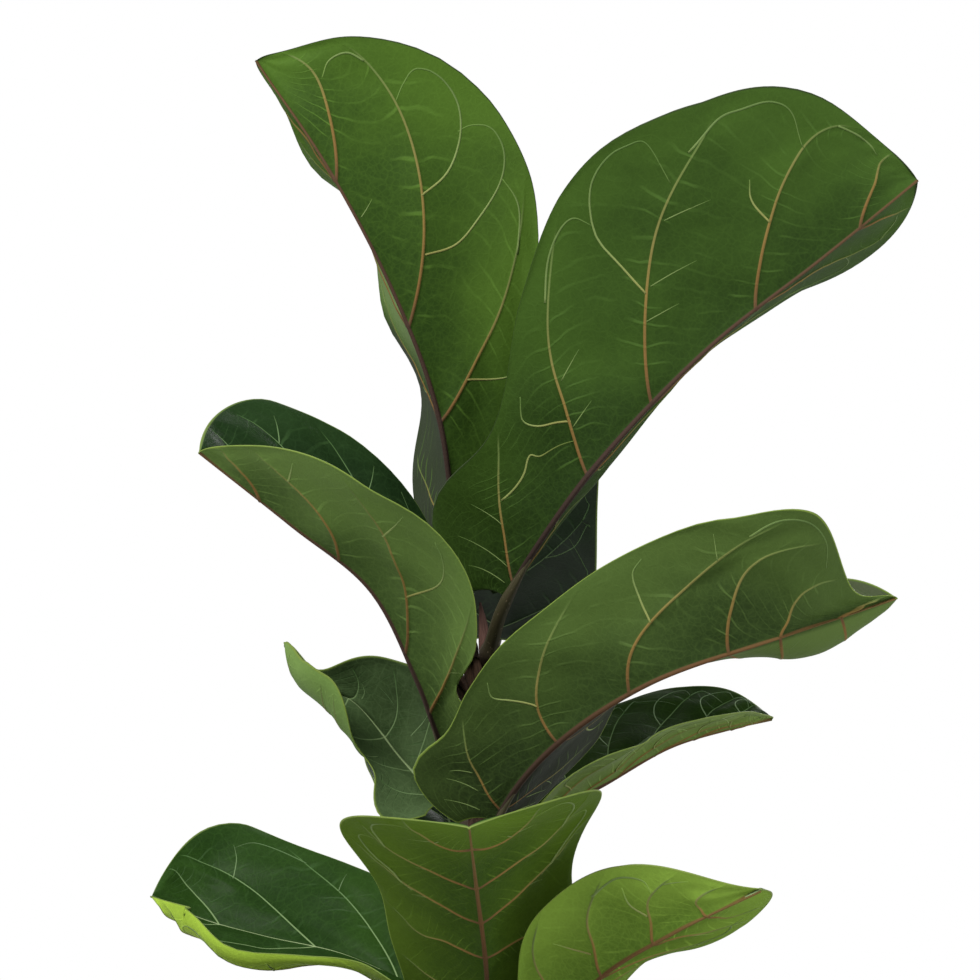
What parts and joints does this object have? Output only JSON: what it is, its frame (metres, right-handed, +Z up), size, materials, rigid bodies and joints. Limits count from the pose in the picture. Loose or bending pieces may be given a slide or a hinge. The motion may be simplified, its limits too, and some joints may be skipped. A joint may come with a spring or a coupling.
{
  "type": "potted fiddle leaf fig",
  "caption": "Young fiddle leaf fig with broad lyre-shaped leathery leaves up a single stem, growing in soil in a plain round nursery pot that stands on its flat underside.",
  "frame": {"origin": "centre of the pot's flat underside, on the surface that it stands on", "axes": "+Z up along the stem; -Y is the side that faces the viewer of the reference picture, +X to that viewer's right"},
  "size_m": [0.5184, 0.5188, 0.945],
  "materials": {
    "pot": "matte",
    "soil": "matte",
    "bark": "matte",
    "bud": "satin",
    "leaf": "satin"
  },
  "bodies": {
    "root": {"pot": "pot", "soil": "soil", "trunk": "bark", "bud": "bud", "leaf_01": "leaf", "leaf_02": "leaf", "leaf_03": "leaf", "leaf_04": "leaf", "leaf_05": "leaf", "leaf_06": "leaf", "leaf_07": "leaf", "leaf_08": "leaf", "leaf_09": "leaf", "leaf_10": "leaf", "leaf_11": "leaf", "leaf_12": "leaf", "leaf_13": "leaf", "leaf_14": "leaf", "leaf_15": "leaf", "leaf_16": "leaf", "leaf_17": "leaf", "leaf_18": "leaf", "leaf_19": "leaf"}
  },
  "joints": []
}
